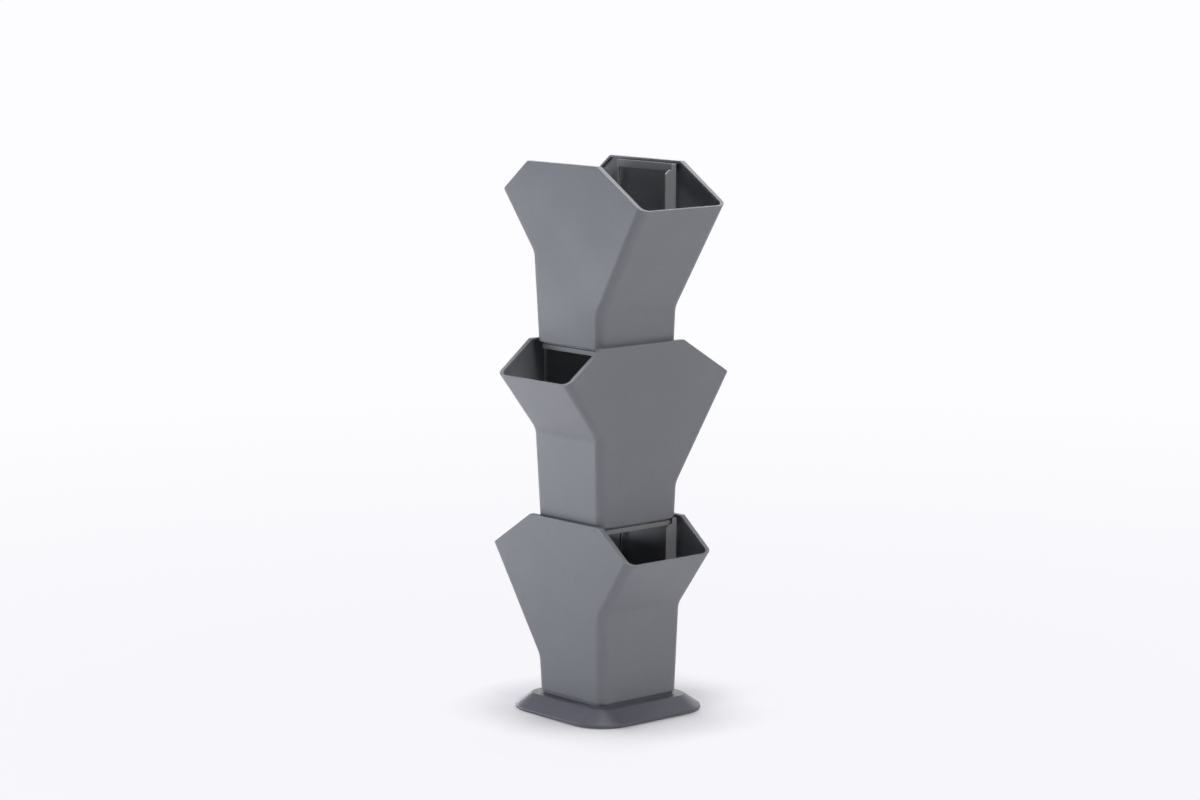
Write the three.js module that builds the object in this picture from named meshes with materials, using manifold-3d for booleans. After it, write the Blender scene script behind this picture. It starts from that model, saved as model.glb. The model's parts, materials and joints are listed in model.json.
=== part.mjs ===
// Vertical planter tower: three equal planters stacked on a square foot, each turned from the one below.
// Every planter is a moulded Y-shaped shell with a long and a short pocket, a drop-in drain plate,
// and two corner frames that stand on the plate and carry the planter above.
// Millimetres, +Z up. The origin is on the column's axis, on the floor.

import * as THREE from 'three';
import { mergeVertices } from 'three/addons/utils/BufferGeometryUtils.js';
import Module from 'manifold-3d';

const wasm = await Module();
wasm.setup();

// Fits between touching pieces
const seatGap = 0.3;
const guideClearance = 0.6;
const overrun = 20;

// Column of a planter
const columnFootWidth = 160;
const columnFlare = 9.7;
const planterHeight = 285.8;
const columnCornerRadius = 16;
const wallThickness = 3;
const footEdgeRound = 1.4;

// Rim of a planter, level over the foot of the next one and sloping down to both pockets
const rimLevelMargin = 4.7;
const rimThickness = 3.6;
const rimCornerRadius = 12.5;
const seatDepth = 4.5;

// Pockets: height of the bend, reach of the outer lip past the column's foot, and its drop from the rim
const longPocket = { bendHeight: 55.9, lipReach: 106.4, lipDrop: 63.3 };
const shortPocket = { bendHeight: 142.5, lipReach: 72.7, lipDrop: 52.2 };
const bendSoftness = 8;

// Drain plate, whose collar hangs through the column's foot as a spigot
const lipWidth = 4.7;
const lipThickness = 3;
const plateThickness = 3;
const collarThickness = 2.5;
const collarDrop = 11;
const collarTaper = 0.6;
const collarNeckHeight = 3.6;
const collarNeckDepth = 2.4;
const collarShoulder = 0.8;
const drainHoleRadius = 4.5;
const drainHolePitch = 29;
const drainHolesPerRow = 4;
const plateRibThickness = 2.4;
const plateRibHeight = 5;

// Corner frame: long side under the level rim, short side across the corner of the pocket's mouth
const frameSheet = 3;
const frameLegInset = 2;
const frameLegWidth = 5;
const frameRailHeight = 12;
const frameSillHeight = 9;
const framePostWidth = 24;
const frameReturnMargin = 1.3;
const frameFoldRadius = 0.6;
const frameCornerBlend = 12;
const frameFlangeThickness = 2;
const frameFlangeDrop = 1;
const postStepWidth = 13;
const postStepDepth = 9;
const postChamferWidth = 8;
const postChamferDrop = 6;

// Square foot under the lowest planter
const baseWidth = 246;
const baseCornerRadius = 61;
const baseEdgeHeight = 6.5;
const baseEdgeRound = 3;
const basePlateauMargin = 14.5;
const basePlateauRadius = 28;
const baseShellThickness = 3;
const baseLift = 1;
const planterSeatHeight = 29.4;
const plateauShadowGap = 4.2;
const seatRingThickness = 1.8;
const baseRibThickness = 2.5;
const baseFootRadius = 11;
const baseFootHeight = 12;
const baseFootInset = 38;

// Smoothness of the rounded stretches
const cornerSteps = 6;
const bendSteps = 4;
const edgeSteps = 2;
const holeSides = 10;
const footSides = 24;

const plasticColour = '#74757b';
const baseColour = '#66666c';
const frameColour = '#77777a';

const columnDraft = columnFlare / planterHeight;
const rimLevelHalf = columnFootWidth / 2 + rimLevelMargin;
const stackPitch = planterHeight - seatDepth;
const collarHalfWidth = columnFootWidth / 2 - lipWidth - seatGap;
const collarCornerRadius = columnCornerRadius - lipWidth - seatGap;
const collarNeckHalfWidth = collarHalfWidth - collarNeckDepth;
const collarNeckRadius = collarCornerRadius - collarNeckDepth;
const frameCornerRadius = columnCornerRadius - wallThickness - seatGap;
const framePostReturn = frameCornerRadius + frameReturnMargin;
const frameLegReach = columnFootWidth / 2 - columnCornerRadius - frameLegInset;
const plateFloor = lipThickness + seatGap;
const frameFoot = plateFloor + plateThickness + seatGap;
const frameTop = stackPitch - seatGap;
const frameTopHalfWidth = columnFootWidth / 2 - guideClearance;
const basePlateauWidth = columnFootWidth + 2 * basePlateauMargin;
const basePlateauHeight = planterSeatHeight - plateauShadowGap;
const baseFootPlace = baseWidth / 2 - baseFootInset;

function columnHalfWidth(z) {
  return columnFootWidth / 2 + columnDraft * z;
}

// Booleans between closed meshes

function toSolid(geometry) {
  const bare = geometry.clone();
  bare.deleteAttribute('normal');
  bare.deleteAttribute('uv');
  const merged = mergeVertices(bare);
  const vertProperties = new Float32Array(merged.getAttribute('position').array);
  const triVerts = new Uint32Array(merged.getIndex().array);
  return new wasm.Manifold(new wasm.Mesh({ numProp: 3, vertProperties, triVerts }));
}

function toGeometry(solid) {
  const { vertProperties, triVerts } = solid.getMesh();
  const geometry = new THREE.BufferGeometry();
  geometry.setAttribute('position', new THREE.BufferAttribute(vertProperties, 3));
  geometry.setIndex(new THREE.BufferAttribute(triVerts, 1));
  geometry.computeVertexNormals();
  return geometry;
}

// Rectangle with rounded corners, as points in one level plane
function roundedSection(minX, maxX, halfY, radius, z) {
  const corners = [
    [maxX - radius, halfY - radius, 0],
    [minX + radius, halfY - radius, 1],
    [minX + radius, radius - halfY, 2],
    [maxX - radius, radius - halfY, 3],
  ];
  const points = [];
  for (const [centreX, centreY, quarter] of corners) {
    const start = quarter * Math.PI / 2;
    const arc = new THREE.EllipseCurve(centreX, centreY, radius, radius, start, start + Math.PI / 2);
    for (const point of arc.getPoints(cornerSteps)) {
      points.push(new THREE.Vector3(point.x, point.y, z));
    }
  }
  return points;
}

function squareSection(halfWidth, radius, z) {
  return roundedSection(-halfWidth, halfWidth, halfWidth, radius, z);
}

// Closed body through level sections that all have the same number of points
function loft(sections) {
  const count = sections[0].length;
  const positions = [];
  const indices = [];
  for (const section of sections) {
    for (const point of section) {
      positions.push(point.x, point.y, point.z);
    }
  }
  for (let row = 0; row < sections.length - 1; row += 1) {
    for (let i = 0; i < count; i += 1) {
      const next = (i + 1) % count;
      const a = row * count + i;
      const b = row * count + next;
      indices.push(a, b, b + count, a, b + count, a + count);
    }
  }
  const last = (sections.length - 1) * count;
  for (let i = 1; i < count - 1; i += 1) {
    indices.push(0, i + 1, i);
    indices.push(last, last + i, last + i + 1);
  }
  const geometry = new THREE.BufferGeometry();
  geometry.setAttribute('position', new THREE.Float32BufferAttribute(positions, 3));
  geometry.setIndex(indices);
  return toSolid(geometry);
}

function block(minX, maxX, minY, maxY, minZ, maxZ) {
  const geometry = new THREE.BoxGeometry(maxX - minX, maxY - minY, maxZ - minZ);
  geometry.translate((minX + maxX) / 2, (minY + maxY) / 2, (minZ + maxZ) / 2);
  return toSolid(geometry);
}

function uprightCylinder(radius, sides, x, y, minZ, maxZ) {
  const geometry = new THREE.CylinderGeometry(radius, radius, maxZ - minZ, sides);
  geometry.rotateX(Math.PI / 2);
  geometry.translate(x, y, (minZ + maxZ) / 2);
  return toSolid(geometry);
}

function extrude(outline, depth) {
  const shape = new THREE.Shape(outline.map(([x, y]) => new THREE.Vector2(x, y)));
  return new THREE.ExtrudeGeometry(shape, { depth, bevelEnabled: false });
}

function lipPlace(pocket) {
  return { x: columnFootWidth / 2 + pocket.lipReach, z: planterHeight - pocket.lipDrop };
}

// Side wall of a pocket: how far it stands from the axis at a height, and how steeply it leans out.
// The wall follows the column, bends softly, then runs straight to the lip.
function pocketWall(pocket, z) {
  const bendX = columnHalfWidth(pocket.bendHeight);
  const lip = lipPlace(pocket);
  const lean = (lip.x - bendX) / (lip.z - pocket.bendHeight);
  const low = pocket.bendHeight - bendSoftness;
  const blend = THREE.MathUtils.clamp((z - low) / (2 * bendSoftness), 0, 1);
  const turned = (lean - columnDraft) * blend;
  const past = Math.max(z - pocket.bendHeight - bendSoftness, 0);
  return {
    reach: columnHalfWidth(z) + turned * blend * bendSoftness + (lean - columnDraft) * past,
    lean: columnDraft + turned,
  };
}

// Section of the planter's outside, or of its hollow when the walls' thickness is taken off
function planterSection(z, inset, halfY, radius) {
  const long = pocketWall(longPocket, z);
  const short = pocketWall(shortPocket, z);
  const maxX = long.reach - inset * Math.hypot(1, long.lean);
  const minX = inset * Math.hypot(1, short.lean) - short.reach;
  return roundedSection(minX, maxX, halfY, radius, z);
}

function bendHeights() {
  const heights = [];
  for (const pocket of [longPocket, shortPocket]) {
    for (let i = 0; i <= bendSteps; i += 1) {
      heights.push(pocket.bendHeight - bendSoftness + 2 * bendSoftness * i / bendSteps);
    }
  }
  return heights;
}

function planterOutside() {
  const sections = [];
  for (let i = 0; i <= edgeSteps; i += 1) {
    const angle = i / edgeSteps * Math.PI / 2;
    const z = footEdgeRound * (1 - Math.cos(angle));
    const inset = footEdgeRound * (1 - Math.sin(angle));
    sections.push(planterSection(z, inset, columnHalfWidth(z) - inset, columnCornerRadius - inset));
  }
  for (const z of [...bendHeights(), planterHeight + overrun]) {
    sections.push(planterSection(z, 0, columnHalfWidth(z), columnCornerRadius));
  }
  return loft(sections);
}

function planterHollow() {
  const radius = columnCornerRadius - wallThickness;
  const sections = [];
  for (const z of [lipThickness, ...bendHeights(), planterHeight + overrun]) {
    sections.push(planterSection(z, wallThickness, columnHalfWidth(z) - wallThickness, radius));
  }
  return loft(sections);
}

// Half the width between the two long rims, which take the foot of the planter above
function rimInnerHalfWidth() {
  return columnHalfWidth(seatDepth) + guideClearance;
}

// Mouth through the rim: as wide as the hollow from lip to lip, and narrowed by the two long rims
function rimMouth() {
  const low = lipPlace(longPocket).z - 4 * rimThickness;
  const sections = [low, planterHeight + overrun].map(
    (z) => planterSection(z, wallThickness, rimInnerHalfWidth(), rimCornerRadius),
  );
  return loft(sections);
}

// Everything under the rim's planes, lowered by a depth square to each plane
function underRim(depth) {
  const reach = 2 * lipPlace(longPocket).x;
  const sides = [longPocket, shortPocket].map((pocket) => {
    const fall = pocket.lipDrop / (lipPlace(pocket).x - rimLevelHalf);
    const creaseX = rimLevelHalf - depth * (Math.hypot(1, fall) - 1) / fall;
    const top = planterHeight - depth;
    return { creaseX, top, endZ: top - fall * (reach - creaseX) };
  });
  const [long, short] = sides;
  const outline = [
    [-reach, -overrun],
    [reach, -overrun],
    [reach, long.endZ],
    [long.creaseX, long.top],
    [-short.creaseX, short.top],
    [-reach, short.endZ],
  ];
  const halfDepth = columnHalfWidth(planterHeight) + overrun;
  const geometry = extrude(outline, 2 * halfDepth);
  geometry.rotateX(Math.PI / 2);
  geometry.translate(0, halfDepth, 0);
  return toSolid(geometry);
}

function planterShell() {
  const lipHalfWidth = columnFootWidth / 2 - lipWidth;
  const lipRadius = columnCornerRadius - lipWidth;
  const footHole = loft([
    squareSection(lipHalfWidth, lipRadius, -overrun),
    squareSection(lipHalfWidth, lipRadius, lipThickness + overrun / 2),
  ]);
  const outside = planterOutside().intersect(underRim(0));
  const hollow = planterHollow().intersect(underRim(rimThickness));
  return toGeometry(outside.subtract(hollow).subtract(rimMouth()).subtract(footHole));
}

// Drain plate: a perforated floor on the column's lip. Its collar hangs through the lip with a recessed neck,
// which shows as a shadow line under the planter's foot, and a tapered band below.

function drainHoles() {
  const holes = [];
  const first = -(drainHolesPerRow - 1) / 2;
  for (let row = 0; row < drainHolesPerRow; row += 1) {
    for (let column = 0; column < drainHolesPerRow; column += 1) {
      const x = (first + column) * drainHolePitch;
      const y = (first + row) * drainHolePitch;
      const low = plateFloor - overrun / 2;
      holes.push(uprightCylinder(drainHoleRadius, holeSides, x, y, low, plateFloor + overrun / 2));
    }
  }
  return holes;
}

function drainPlate() {
  const wallInside = columnHalfWidth(plateFloor) - wallThickness - seatGap;
  const wallRadius = columnCornerRadius - wallThickness - seatGap;
  const top = plateFloor + plateThickness;
  const floor = loft([
    squareSection(wallInside, wallRadius, plateFloor),
    squareSection(wallInside, wallRadius, top),
  ]);
  const collar = loft([
    squareSection(collarHalfWidth - collarTaper, collarCornerRadius - collarTaper, -collarDrop),
    squareSection(collarHalfWidth, collarCornerRadius, -collarNeckHeight),
    squareSection(collarNeckHalfWidth, collarNeckRadius, collarShoulder - collarNeckHeight),
    squareSection(collarNeckHalfWidth, collarNeckRadius, 0),
    squareSection(collarHalfWidth, collarCornerRadius, collarShoulder),
    squareSection(collarHalfWidth, collarCornerRadius, plateFloor + plateThickness / 2),
  ]);
  const boreHalfWidth = collarNeckHalfWidth - collarThickness;
  const boreRadius = collarNeckRadius - collarThickness;
  const bore = loft([
    squareSection(boreHalfWidth, boreRadius, -collarDrop - overrun),
    squareSection(boreHalfWidth, boreRadius, plateFloor),
  ]);
  let plate = collar.subtract(bore).add(floor);
  const ribLength = boreHalfWidth + collarThickness / 2;
  const halfRib = plateRibThickness / 2;
  const ribLow = plateFloor - plateRibHeight;
  const ribTop = plateFloor + plateThickness / 2;
  plate = plate.add(block(-ribLength, ribLength, -halfRib, halfRib, ribLow, ribTop));
  plate = plate.add(block(-halfRib, halfRib, -ribLength, ribLength, ribLow, ribTop));
  for (const hole of drainHoles()) {
    plate = plate.subtract(hole);
  }
  return toGeometry(plate);
}

// Corner frame, drawn for the corner at +X +Y: an angle of sheet with a large window in its long side

// Its fold follows the column's rounded corner below, and is square above the bends, where it stands free.
function frameAngle() {
  const squareFrom = shortPocket.bendHeight + bendSoftness;
  const foldedSquare = (inset, low, high) => {
    const halfWidth = frameTopHalfWidth - inset;
    const rounded = frameCornerRadius - inset;
    const square = frameSheet + frameFoldRadius - inset;
    return loft([
      squareSection(halfWidth, rounded, low),
      squareSection(halfWidth, rounded, squareFrom),
      squareSection(halfWidth, square, squareFrom + frameCornerBlend),
      squareSection(halfWidth, square, high),
    ]);
  };
  const outside = foldedSquare(0, frameFoot, frameTop);
  const inside = foldedSquare(frameSheet, frameFoot - overrun, frameTop + overrun);
  const past = frameTopHalfWidth + overrun;
  const postEnd = frameTopHalfWidth - framePostWidth;
  const corner = block(-frameLegReach, past, postEnd, past, frameFoot - overrun, frameTop + overrun);
  return outside.subtract(inside).intersect(corner);
}

function frameWindow() {
  const inner = frameTopHalfWidth - frameSheet;
  return block(
    -frameLegReach + frameLegWidth,
    frameTopHalfWidth - framePostReturn,
    inner - overrun,
    frameTopHalfWidth + overrun,
    frameFoot + frameSillHeight,
    frameTop - frameRailHeight,
  );
}

// Step and chamfer at the top of the post, which leave the collar of the planter above in the clear
function postTopCut() {
  const postEnd = frameTopHalfWidth - framePostWidth;
  const stepTop = frameTop - postStepDepth;
  const outline = [
    [postEnd - overrun, stepTop - postChamferDrop],
    [postEnd, stepTop - postChamferDrop],
    [postEnd + postChamferWidth, stepTop],
    [postEnd + postStepWidth, stepTop],
    [postEnd + postStepWidth, frameTop + overrun],
    [postEnd - overrun, frameTop + overrun],
  ];
  const geometry = extrude(outline, 2 * overrun);
  geometry.rotateX(Math.PI / 2);
  geometry.rotateZ(Math.PI / 2);
  geometry.translate(frameTopHalfWidth - overrun, 0, 0);
  return toSolid(geometry);
}

// Flange from the rail to the planter's wall, let down a little so that only the rail takes the load
function frameFlange() {
  const top = frameTop - frameFlangeDrop;
  const low = top - frameFlangeThickness;
  const wallInside = columnHalfWidth(low) - wallThickness - seatGap;
  const inner = frameTopHalfWidth - frameSheet / 2;
  return block(-frameLegReach, frameTopHalfWidth - framePostReturn, inner, wallInside, low, top);
}

function cornerFrame() {
  const sheet = frameAngle().subtract(frameWindow()).subtract(postTopCut()).add(frameFlange());
  const footHalfWidth = columnHalfWidth(frameFoot) - wallThickness - seatGap;
  const lean = (frameTopHalfWidth - footHalfWidth) / (frameTop - frameFoot);
  const geometry = toGeometry(sheet);
  const leaned = new THREE.Matrix4().set(
    1, 0, lean, -lean * frameTop,
    0, 1, lean, -lean * frameTop,
    0, 0, 1, 0,
    0, 0, 0, 1,
  );
  geometry.applyMatrix4(leaned);
  return geometry;
}

// Square foot: a sloped skirt with a socket for the lowest collar, ribbed and open underneath

function baseSection(halfWidth, z) {
  const wide = baseWidth / 2;
  const narrow = basePlateauWidth / 2;
  const share = (halfWidth - narrow) / (wide - narrow);
  const radius = THREE.MathUtils.lerp(basePlateauRadius, baseCornerRadius, share);
  return squareSection(halfWidth, radius, z);
}

function baseOutside() {
  const wide = baseWidth / 2;
  const slopeAngle = Math.atan2(basePlateauHeight - baseEdgeHeight, (baseWidth - basePlateauWidth) / 2);
  const turn = Math.PI / 2 - slopeAngle;
  const tangent = baseEdgeRound * Math.tan(turn / 2);
  const sections = [
    baseSection(wide - footEdgeRound, baseLift),
    baseSection(wide, baseLift + footEdgeRound),
  ];
  for (let i = 0; i <= bendSteps; i += 1) {
    const angle = i / bendSteps * turn;
    const halfWidth = wide - baseEdgeRound * (1 - Math.cos(angle));
    sections.push(baseSection(halfWidth, baseEdgeHeight - tangent + baseEdgeRound * Math.sin(angle)));
  }
  sections.push(baseSection(basePlateauWidth / 2, basePlateauHeight));
  return loft(sections);
}

// Space under the skirt that lies deeper than a thickness below its outside
function underSkirt(thickness) {
  const fall = (basePlateauHeight - baseEdgeHeight) / ((baseWidth - basePlateauWidth) / 2);
  const shift = thickness * Math.hypot(1, fall);
  const wide = baseWidth / 2 - thickness;
  const top = basePlateauHeight - thickness;
  const eave = baseEdgeHeight + fall * thickness - shift;
  const narrow = wide - (top - eave) / fall;
  return loft([
    baseSection(wide, -overrun),
    baseSection(wide, eave),
    baseSection(narrow, top),
  ]);
}

function baseRibs() {
  const half = baseRibThickness / 2;
  const reach = baseWidth / 2;
  const low = 2 * baseLift;
  const ribs = [];
  for (const place of [-baseFootPlace, 0, baseFootPlace]) {
    ribs.push(block(-reach, reach, place - half, place + half, low, basePlateauHeight));
    ribs.push(block(place - half, place + half, -reach, reach, low, basePlateauHeight));
  }
  return ribs;
}

function baseFeet() {
  const feet = [uprightCylinder(baseFootRadius, footSides, 0, 0, 0, baseFootHeight)];
  for (const x of [-baseFootPlace, baseFootPlace]) {
    for (const y of [-baseFootPlace, baseFootPlace]) {
      feet.push(uprightCylinder(baseFootRadius, footSides, x, y, 0, baseFootHeight));
    }
  }
  return feet;
}

function baseFoot() {
  const socketHalfWidth = collarHalfWidth + guideClearance;
  const socketRadius = collarCornerRadius + guideClearance;
  const socketFloor = planterSeatHeight - collarDrop - seatGap;
  const seatTop = planterSeatHeight - seatGap;
  const cupHalfWidth = socketHalfWidth + baseShellThickness;
  const cupRadius = socketRadius + baseShellThickness;
  const cup = loft([
    squareSection(cupHalfWidth, cupRadius, socketFloor - baseShellThickness),
    squareSection(cupHalfWidth, cupRadius, basePlateauHeight),
  ]);
  const seatRing = loft([
    squareSection(socketHalfWidth + seatRingThickness, socketRadius + seatRingThickness, socketFloor),
    squareSection(socketHalfWidth + seatRingThickness, socketRadius + seatRingThickness, seatTop),
  ]);
  const socket = loft([
    squareSection(socketHalfWidth, socketRadius, socketFloor),
    squareSection(socketHalfWidth, socketRadius, seatTop + overrun),
  ]);
  const ribSpace = underSkirt(baseShellThickness / 2);
  let base = baseOutside().subtract(underSkirt(baseShellThickness));
  for (const rib of baseRibs()) {
    base = base.add(rib.intersect(ribSpace));
  }
  for (const foot of baseFeet()) {
    base = base.add(foot);
  }
  return toGeometry(base.add(cup).add(seatRing).subtract(socket));
}

// Assembly

const plastic = new THREE.MeshStandardMaterial({ color: plasticColour, roughness: 0.62, metalness: 0 });
const basePlastic = new THREE.MeshStandardMaterial({ color: baseColour, roughness: 0.62, metalness: 0 });
const framePlastic = new THREE.MeshStandardMaterial({ color: frameColour, roughness: 0.7, metalness: 0 });

function piece(name, geometry, material) {
  const mesh = new THREE.Mesh(geometry, material.clone());
  mesh.name = name;
  return mesh;
}

function planter(name) {
  const group = new THREE.Group();
  const frameGeometry = cornerFrame();
  const frameA = piece(`${name}_corner_frame_a`, frameGeometry, framePlastic);
  const frameB = piece(`${name}_corner_frame_b`, frameGeometry, framePlastic);
  frameB.rotation.z = Math.PI;
  group.add(piece(`${name}_planter_shell`, planterShell(), plastic));
  group.add(piece(`${name}_drain_plate`, drainPlate(), framePlastic));
  group.add(frameA);
  group.add(frameB);
  return group;
}

const tower = new THREE.Group();
tower.add(piece('base_foot', baseFoot(), basePlastic));

const levels = [
  { name: 'lower', quarterTurns: 2 },
  { name: 'middle', quarterTurns: 1 },
  { name: 'top', quarterTurns: 0 },
];
levels.forEach(({ name, quarterTurns }, level) => {
  const group = planter(name);
  group.position.z = planterSeatHeight + level * stackPitch;
  group.rotation.z = quarterTurns * Math.PI / 2;
  tower.add(group);
});

export default tower;
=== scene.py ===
"""Vertical planter tower.

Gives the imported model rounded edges, moulded plastics, a stage and a camera.
"""

import json
import math

import bmesh
import bpy
from bpy.props import FloatProperty, FloatVectorProperty, IntProperty, PointerProperty
from bpy.types import Operator, Panel, PropertyGroup
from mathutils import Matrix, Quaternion, Vector

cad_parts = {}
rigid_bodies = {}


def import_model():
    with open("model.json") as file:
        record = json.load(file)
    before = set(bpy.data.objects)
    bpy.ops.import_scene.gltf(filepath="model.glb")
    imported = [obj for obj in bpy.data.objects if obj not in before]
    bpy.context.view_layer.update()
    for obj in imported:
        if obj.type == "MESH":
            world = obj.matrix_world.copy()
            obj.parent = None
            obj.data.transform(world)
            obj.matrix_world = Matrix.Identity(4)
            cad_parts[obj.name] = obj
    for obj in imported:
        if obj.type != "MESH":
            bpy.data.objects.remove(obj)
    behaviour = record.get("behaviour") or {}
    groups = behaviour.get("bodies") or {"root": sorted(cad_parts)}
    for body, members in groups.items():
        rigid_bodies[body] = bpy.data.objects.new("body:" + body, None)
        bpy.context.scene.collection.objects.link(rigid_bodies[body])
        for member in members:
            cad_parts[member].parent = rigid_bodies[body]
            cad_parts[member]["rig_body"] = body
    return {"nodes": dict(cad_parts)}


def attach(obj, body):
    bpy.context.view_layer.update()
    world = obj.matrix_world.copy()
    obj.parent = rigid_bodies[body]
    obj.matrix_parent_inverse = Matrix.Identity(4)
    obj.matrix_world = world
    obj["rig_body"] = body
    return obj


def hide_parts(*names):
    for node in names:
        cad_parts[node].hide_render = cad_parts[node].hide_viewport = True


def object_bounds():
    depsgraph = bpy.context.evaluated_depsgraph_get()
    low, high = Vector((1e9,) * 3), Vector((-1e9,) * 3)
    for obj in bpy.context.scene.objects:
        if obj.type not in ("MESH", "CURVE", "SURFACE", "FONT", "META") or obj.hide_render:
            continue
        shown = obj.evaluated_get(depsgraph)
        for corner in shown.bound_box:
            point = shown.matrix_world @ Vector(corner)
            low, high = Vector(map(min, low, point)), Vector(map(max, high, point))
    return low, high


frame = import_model()
CAD_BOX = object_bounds()

bl_info = {
    "name": "Vertical planter tower",
    "version": (1, 0, 0),
    "blender": (4, 5, 0),
    "location": "3D View > Sidebar > Planter tower",
    "description": "Finishes a stacked planter tower and sets its studio",
    "category": "Object",
}

LEVELS = ("lower", "middle", "top")

# Points this close are welded, and faces this nearly flat are joined, before and after the rounding
WELD_DISTANCE = 0.00002
FLAT_ANGLE = math.radians(0.6)
# Profile of a bevel that is an arc
ARC_PROFILE = 0.5

# Polypropylene: its refraction, the width of its flow marks in metres, and how much a mark changes
# the shade and the roughness
POLYPROPYLENE_IOR = 1.49
FLOW_MARK_SIZE = 0.06
FLOW_MARK_SHADE = 0.08
FLOW_MARK_SHEEN = 0.02
# Noise values that the flow marks and the grain mostly lie between, and the grain's share of the
# lighter colour in its low and high places
FLOW_MARK_SPAN = {"From Min": 0.3, "From Max": 0.7}
GRAIN_SPAN = {"From Min": 0.35, "From Max": 0.65}
GRAIN_SHARE = {"To Min": 0.25, "To Max": 0.75}

# Sockets of a mix node that mixes colours
MIX_SHARE, MIX_LOW, MIX_HIGH, MIX_RESULT = 0, 6, 7, 2

# Width of the camera's sensor in mm, and how far the camera sees in metres
SENSOR_WIDTH = 36
SIGHT_LIMIT = 400


def linear(code):
    """Linear colour from an sRGB hex value."""
    values = [int(code[i : i + 2], 16) / 255 for i in (1, 3, 5)]
    return [v / 12.92 if v <= 0.04045 else ((v + 0.055) / 1.055) ** 2.4 for v in values]


def colour_property(name, description, code):
    return FloatVectorProperty(
        name=name,
        description=description,
        subtype="COLOR",
        size=3,
        min=0,
        max=1,
        default=linear(code),
    )


def length_property(name, description, metres):
    return FloatProperty(
        name=name, description=description, unit="LENGTH", min=0, default=metres, precision=5
    )


def angle_property(name, description, degrees):
    return FloatProperty(
        name=name, description=description, subtype="ANGLE", default=math.radians(degrees)
    )


def share_property(name, description, value, high=1):
    return FloatProperty(
        name=name, description=description, subtype="FACTOR", min=0, max=high, default=value
    )


def power_property(name, description, watts):
    return FloatProperty(name=name, description=description, unit="POWER", min=0, default=watts)


class TowerPlastics(PropertyGroup):
    """Colours and grain of the moulded pieces"""

    planter_colour: colour_property("Planter colour", "Mid grey of the planter shells", "#838589")
    shade_colour: colour_property("Planter shade", "Grey in the low places of its grain", "#797b82")
    insert_colour: colour_property("Insert colour", "Grey of the plates and frames", "#959598")
    insert_shade: colour_property("Insert shade", "Grey in the low places of its grain", "#8b8b8e")
    foot_colour: colour_property("Foot colour", "Dark grey of the square foot", "#6f707a")
    foot_shade: colour_property("Foot shade", "Grey in the low places of its grain", "#5f606a")
    grain_size: length_property("Grain size", "Spacing of the grain as it is drawn", 0.0026)
    grain_depth: length_property("Grain depth", "Height of the grain as it is drawn", 0.0001)
    planter_roughness: share_property("Planter roughness", "Roughness of shells and inserts", 0.45)
    foot_roughness: share_property("Foot roughness", "Roughness of the foot", 0.42)
    planter_gloss: share_property("Planter gloss", "Reflection of shells, where 0.5 is full", 0.33)
    foot_gloss: share_property("Foot gloss", "Reflection of the foot, where 0.5 is full", 0.3)


class TowerEdges(PropertyGroup):
    """Rounding of the moulded edges"""

    shell_edge: length_property("Shell edge", "Rounding of the shells' edges", 0.0007)
    plate_edge: length_property("Plate edge", "Rounding of the plates' edges and holes", 0.0004)
    frame_edge: length_property("Frame edge", "Rounding of the corner frames' edges", 0.00045)
    foot_edge: length_property("Foot edge", "Rounding of the foot's edges", 0.0005)
    sharp_angle: angle_property("Sharp angle", "Edges that turn by more are rounded", 28)
    steps: IntProperty(
        name="Steps", description="Faces across a rounded edge", min=1, max=6, default=2
    )


class TowerStage(PropertyGroup):
    """Floor, light and camera"""

    paint_colour: colour_property("Paint colour", "Paint of the studio floor", "#f4f3f6")
    # Glow of the floor near the tower, a little greyer than the backdrop's white: painted shade
    # round the tower
    painted_shade_glow: colour_property("Floor white", "Floor beyond the tower's shadow", "#f7f6fb")
    backdrop_colour: colour_property("Backdrop colour", "What the floor fades to", "#fdfdff")
    floor_reach: length_property("Floor reach", "Half the side of the floor", 80)
    glow_near: share_property("Glow near", "Share of plain white in the floor at the tower", 0.25)
    glow_far: share_property("Glow far", "Share of plain white in the floor far away", 1)
    shadow_centre: length_property("Shadow centre", "How far right the kept shadow lies", 0.08)
    fade_start: length_property("Fade start", "Where the shadow begins to fade", 0.12)
    fade_end: length_property("Fade end", "Where the shadow has gone", 0.34)
    white_start: length_property("White start", "Where the backdrop's white begins", 0.7)
    white_end: length_property("White end", "Where the floor is the backdrop's white", 3.5)
    ambient_colour: colour_property("Ambient colour", "Soft light from all round", "#eceef6")
    ambient: share_property("Ambient", "Strength of the soft light from all round", 0.03, 10)
    left_power: power_property("Left power", "Low soft box at the left", 17)
    front_power: power_property("Front power", "Strip light at the front", 8)
    right_power: power_property("Right power", "Soft box at the right", 58)
    overhead_power: power_property("Overhead power", "Small box overhead", 62)
    left_bounce: power_property("Left bounce", "Light on the floor at the left", 54)
    right_bounce: power_property("Right bounce", "Light on the floor at the right", 2)
    back_power: power_property("Back power", "Soft box behind", 12)


class TowerCamera(PropertyGroup):
    """The photograph's point of view"""

    azimuth: angle_property("Azimuth", "Turn round the tower from the front", 49.628)
    elevation: angle_property("Elevation", "Height above the horizon", 8.514)
    roll: angle_property("Roll", "Turn about the line of sight", -0.251)
    distance: length_property("Distance", "Distance from the aim point", 5.3269)
    lens: FloatProperty(
        name="Lens", description="Focal length in mm", unit="CAMERA", min=1, default=100.946
    )
    aim: FloatVectorProperty(
        name="Aim",
        description="Point in the middle of the view",
        subtype="XYZ",
        size=3,
        default=(-0.0068, -0.0080, 0.4987),
    )


class TowerSettings(PropertyGroup):
    """All settings of the planter tower"""

    plastics: PointerProperty(type=TowerPlastics)
    edges: PointerProperty(type=TowerEdges)
    stage: PointerProperty(type=TowerStage)
    camera: PointerProperty(type=TowerCamera)


def settings():
    return bpy.context.scene.planter_tower


# Materials


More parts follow.
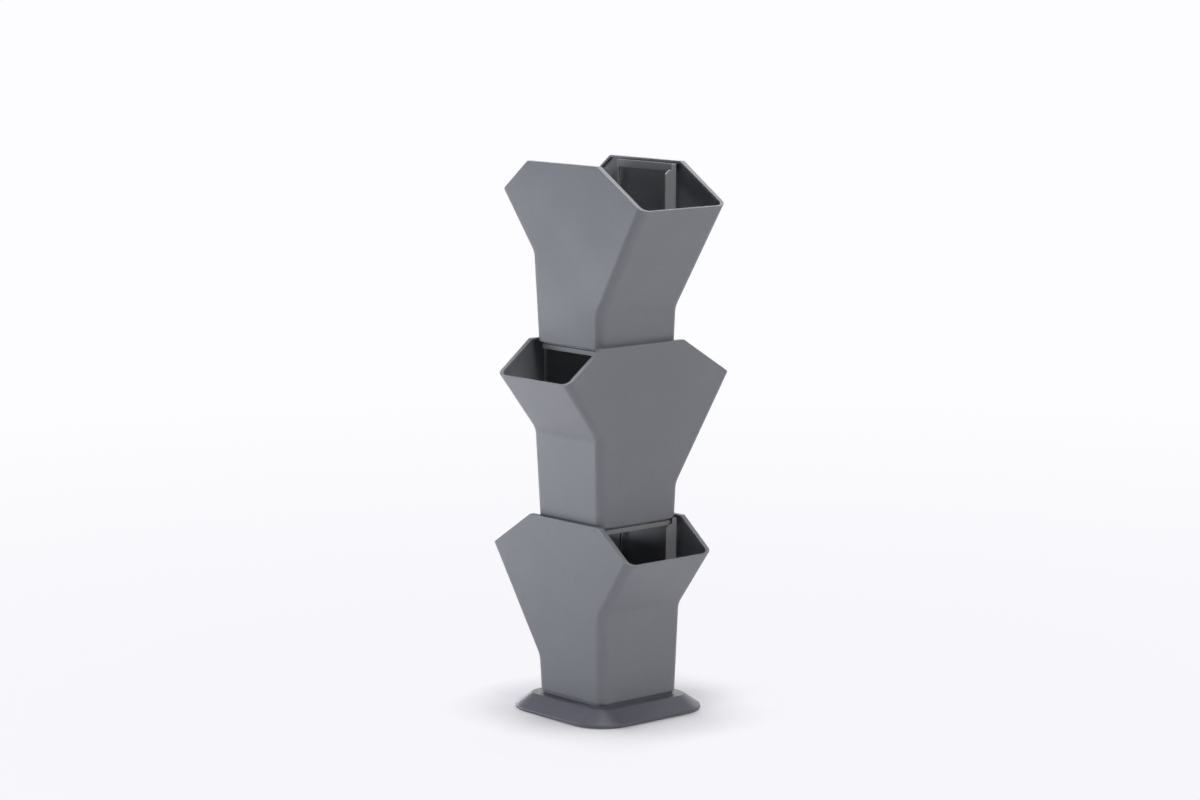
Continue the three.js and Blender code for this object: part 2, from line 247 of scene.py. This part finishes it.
def add_node(tree, kind, inputs=None, links=None, **attributes):
    """Adds a node, sets its attributes and input values, and links its inputs from sockets."""
    node = tree.nodes.new(kind)
    for name, value in attributes.items():
        setattr(node, name, value)
    for name, value in (inputs or {}).items():
        node.inputs[name].default_value = value
    for name, socket in (links or {}).items():
        tree.links.new(socket, node.inputs[name])
    return node


def new_material(name):
    material = bpy.data.materials.new(name)
    material.use_nodes = True
    material.node_tree.nodes.clear()
    return material, material.node_tree


def seen_rays(tree):
    """Socket that is 1 for what is seen, straight, in gloss or through glass, and 0 for light."""
    path = add_node(tree, "ShaderNodeLightPath").outputs
    direct = add_node(
        tree,
        "ShaderNodeMath",
        operation="MAXIMUM",
        links={0: path["Is Camera Ray"], 1: path["Is Glossy Ray"]},
    )
    every = add_node(
        tree,
        "ShaderNodeMath",
        operation="MAXIMUM",
        links={0: direct.outputs["Value"], 1: path["Is Transmission Ray"]},
    )
    return every.outputs["Value"]


def moulded_polypropylene(name, colour, shade, roughness, gloss):
    """Polypropylene, injection moulded in a spark-eroded tool.

    It is matt, with an even fine grain that breaks up highlights, and with faint cloudy flow marks
    that change its shade and its shine a little.
    """
    plastics = settings().plastics
    material, tree = new_material(name)
    place = add_node(tree, "ShaderNodeTexCoord").outputs["Object"]
    # The real grain is near 0.3 mm, too fine for this view, so it is drawn as coarse as is set
    grain = add_node(
        tree,
        "ShaderNodeTexNoise",
        inputs={"Scale": 1 / plastics.grain_size, "Detail": 3, "Roughness": 0.6},
        links={"Vector": place},
    )
    cloud = add_node(
        tree,
        "ShaderNodeTexNoise",
        inputs={"Scale": 1 / FLOW_MARK_SIZE, "Detail": 2, "Roughness": 0.45},
        links={"Vector": place},
    )
    cloudy = add_node(
        tree,
        "ShaderNodeMapRange",
        inputs={**FLOW_MARK_SPAN, "To Min": -FLOW_MARK_SHADE, "To Max": FLOW_MARK_SHADE},
        links={"Value": cloud.outputs["Fac"]},
    )
    speckle = add_node(
        tree,
        "ShaderNodeMapRange",
        inputs={**GRAIN_SPAN, **GRAIN_SHARE},
        links={"Value": grain.outputs["Fac"]},
    )
    blend = add_node(
        tree,
        "ShaderNodeMath",
        operation="ADD",
        use_clamp=True,
        links={0: speckle.outputs["Result"], 1: cloudy.outputs["Result"]},
    )
    tint = add_node(
        tree,
        "ShaderNodeMix",
        data_type="RGBA",
        inputs={MIX_LOW: (*shade, 1), MIX_HIGH: (*colour, 1)},
        links={MIX_SHARE: blend.outputs["Value"]},
    )
    sheen = add_node(
        tree,
        "ShaderNodeMapRange",
        inputs={
            **FLOW_MARK_SPAN,
            "To Min": roughness + FLOW_MARK_SHEEN,
            "To Max": roughness - FLOW_MARK_SHEEN,
        },
        links={"Value": cloud.outputs["Fac"]},
    )
    bump = add_node(
        tree,
        "ShaderNodeBump",
        inputs={"Strength": 1, "Distance": plastics.grain_depth},
        links={"Height": grain.outputs["Fac"]},
    )
    shader = add_node(
        tree,
        "ShaderNodeBsdfPrincipled",
        inputs={"IOR": POLYPROPYLENE_IOR, "Specular IOR Level": gloss},
        links={
            "Base Color": tint.outputs[MIX_RESULT],
            "Roughness": sheen.outputs["Result"],
            "Normal": bump.outputs["Normal"],
        },
    )
    add_node(tree, "ShaderNodeOutputMaterial", links={"Surface": shader.outputs["BSDF"]})
    return material


def pale_floor():
    """Matt painted floor that keeps soft shadows near the tower and fades to the backdrop."""
    stage = settings().stage
    material, tree = new_material("painted_studio_floor")
    paint = add_node(tree, "ShaderNodeBsdfDiffuse", inputs={"Color": (*stage.paint_colour, 1)})
    place = add_node(tree, "ShaderNodeTexCoord").outputs["Object"]
    away = add_node(
        tree,
        "ShaderNodeVectorMath",
        operation="DISTANCE",
        inputs={1: (stage.shadow_centre, 0, 0)},
        links={0: place},
    )
    far = add_node(
        tree,
        "ShaderNodeMapRange",
        inputs={"From Min": stage.white_start, "From Max": stage.white_end},
        links={"Value": away.outputs["Value"]},
    )
    # The glow goes from a greyer tone near the tower to the backdrop's white far out: painted shade
    # round the tower
    glow_with_shade = add_node(
        tree,
        "ShaderNodeMix",
        data_type="RGBA",
        inputs={MIX_LOW: (*stage.painted_shade_glow, 1), MIX_HIGH: (*stage.backdrop_colour, 1)},
        links={MIX_SHARE: far.outputs["Result"]},
    )
    white = add_node(
        tree,
        "ShaderNodeEmission",
        inputs={"Strength": 1},
        links={"Color": glow_with_shade.outputs[MIX_RESULT]},
    )
    share = add_node(
        tree,
        "ShaderNodeMapRange",
        inputs={
            "From Min": stage.fade_start,
            "From Max": stage.fade_end,
            "To Min": stage.glow_near,
            "To Max": stage.glow_far,
        },
        links={"Value": away.outputs["Value"]},
    )
    glow = add_node(
        tree,
        "ShaderNodeMath",
        operation="MULTIPLY",
        links={0: seen_rays(tree), 1: share.outputs["Result"]},
    )
    mix = add_node(
        tree,
        "ShaderNodeMixShader",
        links={0: glow.outputs["Value"], 1: paint.outputs["BSDF"], 2: white.outputs["Emission"]},
    )
    add_node(tree, "ShaderNodeOutputMaterial", links={"Surface": mix.outputs["Shader"]})
    return material


# Pieces


def rounded_piece(name, node, edge, material):
    """A piece that stands for a node: its form, with the edges rounded and smoothly shaded."""
    edges = settings().edges
    mesh = bpy.data.meshes.new(name)
    form = bmesh.new()
    form.from_mesh(frame["nodes"][node].data)
    bmesh.ops.remove_doubles(form, verts=form.verts, dist=WELD_DISTANCE)
    bmesh.ops.dissolve_limit(form, angle_limit=FLAT_ANGLE, verts=form.verts, edges=form.edges)
    # Well shaped triangles keep one edge's rounding clear of the lines that divide a flat face
    bmesh.ops.triangulate(form, faces=form.faces, quad_method="BEAUTY", ngon_method="BEAUTY")
    flat = [e for e in form.edges if e.is_manifold and e.calc_face_angle() < FLAT_ANGLE]
    bmesh.ops.beautify_fill(form, faces=form.faces, edges=flat, method="ANGLE")
    sharp = [e for e in form.edges if e.is_manifold and e.calc_face_angle() > edges.sharp_angle]
    bmesh.ops.bevel(
        form,
        geom=sharp,
        offset=edge,
        offset_type="OFFSET",
        segments=edges.steps,
        profile=ARC_PROFILE,
        affect="EDGES",
        clamp_overlap=False,
    )
    bmesh.ops.dissolve_limit(form, angle_limit=FLAT_ANGLE, verts=form.verts, edges=form.edges)
    for face in form.faces:
        face.smooth = True
    form.to_mesh(mesh)
    form.free()
    mesh.materials.append(material)
    piece = bpy.data.objects.new(name, mesh)
    bpy.context.scene.collection.objects.link(piece)
    normals = piece.modifiers.new("Even shading", "WEIGHTED_NORMAL")
    normals.keep_sharp = True
    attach(piece, frame["nodes"][node]["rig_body"])
    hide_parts(node)
    return piece


class PLANTER_OT_shells(Operator):
    """Finish the three planter shells in matt moulded plastic with rounded rims"""

    bl_idname = "planter_tower.shells"
    bl_label = "Planter shells"

    def execute(self, context):
        plastics = settings().plastics
        material = moulded_polypropylene(
            "planter_polypropylene",
            plastics.planter_colour,
            plastics.shade_colour,
            plastics.planter_roughness,
            plastics.planter_gloss,
        )
        edge = settings().edges.shell_edge
        for level in LEVELS:
            piece = rounded_piece(f"{level}_planter", f"{level}_planter_shell", edge, material)
        return {"FINISHED"}


class PLANTER_OT_inserts(Operator):
    """Finish the drain plates and the corner frames inside the planters"""

    bl_idname = "planter_tower.inserts"
    bl_label = "Drain plates and corner frames"

    def execute(self, context):
        plastics = settings().plastics
        material = moulded_polypropylene(
            "insert_polypropylene",
            plastics.insert_colour,
            plastics.insert_shade,
            plastics.planter_roughness,
            plastics.planter_gloss,
        )
        edges = settings().edges
        parts = {
            "drain_plate": edges.plate_edge,
            "corner_frame_a": edges.frame_edge,
            "corner_frame_b": edges.frame_edge,
        }
        for level in LEVELS:
            for part, edge in parts.items():
                piece = rounded_piece(f"{level}_{part}_insert", f"{level}_{part}", edge, material)
        return {"FINISHED"}


class PLANTER_OT_foot(Operator):
    """Finish the square foot under the tower"""

    bl_idname = "planter_tower.foot"
    bl_label = "Square foot"

    def execute(self, context):
        plastics = settings().plastics
        material = moulded_polypropylene(
            "foot_polypropylene",
            plastics.foot_colour,
            plastics.foot_shade,
            plastics.foot_roughness,
            plastics.foot_gloss,
        )
        piece = rounded_piece("square_foot", "base_foot", settings().edges.foot_edge, material)
        return {"FINISHED"}


# Stage


def add_facing(thing, aim, turn, rise, distance, roll=0):
    """Adds a lamp or camera that faces a point from a distance, its turn and rise in radians."""
    level = math.cos(rise)
    away = Vector((math.sin(turn) * level, -math.cos(turn) * level, math.sin(rise)))
    thing.location = Vector(aim) + away * distance
    thing.rotation_mode = "QUATERNION"
    upright = (-away).to_track_quat("-Z", "Y")
    thing.rotation_quaternion = upright @ Quaternion((0, 0, 1), roll)
    bpy.context.scene.collection.objects.link(thing)


def soft_box(name, power, colour, size, turn, rise, distance, aim):
    """Rectangular lamp, placed by a turn and rise in degrees about the point that it faces."""
    data = bpy.data.lights.new(name, "AREA")
    data.shape = "RECTANGLE"
    data.size, data.size_y = size
    data.energy = power
    data.color = linear(colour)
    lamp = bpy.data.objects.new(name, data)
    add_facing(lamp, aim, math.radians(turn), math.radians(rise), distance)


def build_floor():
    reach = settings().stage.floor_reach
    mesh = bpy.data.meshes.new("studio_floor")
    corners = [(-reach, -reach, 0), (reach, -reach, 0), (reach, reach, 0), (-reach, reach, 0)]
    mesh.from_pydata(corners, [], [(0, 1, 2, 3)])
    mesh.materials.append(pale_floor())
    floor = bpy.data.objects.new("studio_floor", mesh)
    bpy.context.scene.collection.objects.link(floor)


def build_world():
    stage = settings().stage
    world = bpy.data.worlds.new("studio")
    world.use_nodes = True
    tree = world.node_tree
    tree.nodes.clear()
    soft = add_node(
        tree,
        "ShaderNodeBackground",
        inputs={"Color": (*stage.ambient_colour, 1), "Strength": stage.ambient},
    )
    white = add_node(
        tree,
        "ShaderNodeBackground",
        inputs={"Color": (*stage.backdrop_colour, 1), "Strength": 1},
    )
    mix = add_node(
        tree,
        "ShaderNodeMixShader",
        links={0: seen_rays(tree), 1: soft.outputs["Background"], 2: white.outputs["Background"]},
    )
    add_node(tree, "ShaderNodeOutputWorld", links={"Surface": mix.outputs["Shader"]})
    bpy.context.scene.world = world


def build_lamps():
    stage = settings().stage
    rim = CAD_BOX[1].z
    soft_box(
        "left_soft_box", stage.left_power, "#f2f5ff", size=(1.2, 0.22),
        turn=-48, rise=0, distance=2.6, aim=(0, 0, rim * 0.15),
    )
    soft_box(
        "front_strip_light", stage.front_power, "#f2f5ff", size=(1.2, 0.4),
        turn=-10, rise=0, distance=2.6, aim=(0, 0, rim * 1.31),
    )
    soft_box(
        "right_soft_box", stage.right_power, "#fdfbfc", size=(1.35, 1.35),
        turn=90, rise=36, distance=4, aim=(0, 0, rim / 2),
    )
    soft_box(
        "overhead_soft_box", stage.overhead_power, "#ffffff", size=(0.5, 0.5),
        turn=95, rise=84, distance=2.2, aim=(0, 0, rim),
    )
    # The bounce lights lie close over the floor and face it
    soft_box(
        "left_bounce_light", stage.left_bounce, "#fbfbff", size=(1.1, 1.5),
        turn=0, rise=90, distance=0.13, aim=(-1.3, 0, 0),
    )
    soft_box(
        "right_bounce_light", stage.right_bounce, "#fbfbff", size=(1.1, 1.5),
        turn=0, rise=90, distance=0.13, aim=(1.2, 0, 0),
    )
    soft_box(
        "back_soft_box", stage.back_power, "#fbfbff", size=(1.2, 1.4),
        turn=215, rise=20, distance=2.8, aim=(0, 0, rim / 2),
    )


def build_camera():
    view = settings().camera
    data = bpy.data.cameras.new("photo_camera")
    data.sensor_width = SENSOR_WIDTH
    data.lens = view.lens
    data.clip_end = SIGHT_LIMIT
    camera = bpy.data.objects.new("photo_camera", data)
    add_facing(camera, view.aim, view.azimuth, view.elevation, view.distance, view.roll)
    bpy.context.scene.camera = camera


class PLANTER_OT_stage(Operator):
    """Set the pale floor, the soft light and the camera"""

    bl_idname = "planter_tower.stage"
    bl_label = "Stage, light and camera"

    def execute(self, context):
        build_floor()
        build_world()
        build_lamps()
        build_camera()
        context.scene.view_settings.view_transform = "Standard"
        return {"FINISHED"}


class PLANTER_PT_tower(Panel):
    """Lists the steps that finish the tower"""

    bl_idname = "PLANTER_PT_tower"
    bl_label = "Planter tower"
    bl_space_type = "VIEW_3D"
    bl_region_type = "UI"
    bl_category = "Planter tower"

    def draw(self, context):
        tower = context.scene.planter_tower
        for group in (tower.plastics, tower.edges, tower.stage, tower.camera):
            box = self.layout.box()
            for name in group.__annotations__:
                box.prop(group, name)
        for step in STEPS:
            self.layout.operator(step.bl_idname)


STEPS = (PLANTER_OT_foot, PLANTER_OT_shells, PLANTER_OT_inserts, PLANTER_OT_stage)
GROUPS = (TowerPlastics, TowerEdges, TowerStage, TowerCamera, TowerSettings)
CLASSES = (*GROUPS, *STEPS, PLANTER_PT_tower)


def register():
    for cls in CLASSES:
        bpy.utils.register_class(cls)
    bpy.types.Scene.planter_tower = PointerProperty(type=TowerSettings)


def unregister():
    del bpy.types.Scene.planter_tower
    for cls in reversed(CLASSES):
        bpy.utils.unregister_class(cls)


def main():
    register()
    bpy.ops.planter_tower.foot()
    bpy.ops.planter_tower.shells()
    bpy.ops.planter_tower.inserts()
    bpy.ops.planter_tower.stage()


if __name__ == "__main__":
    main()
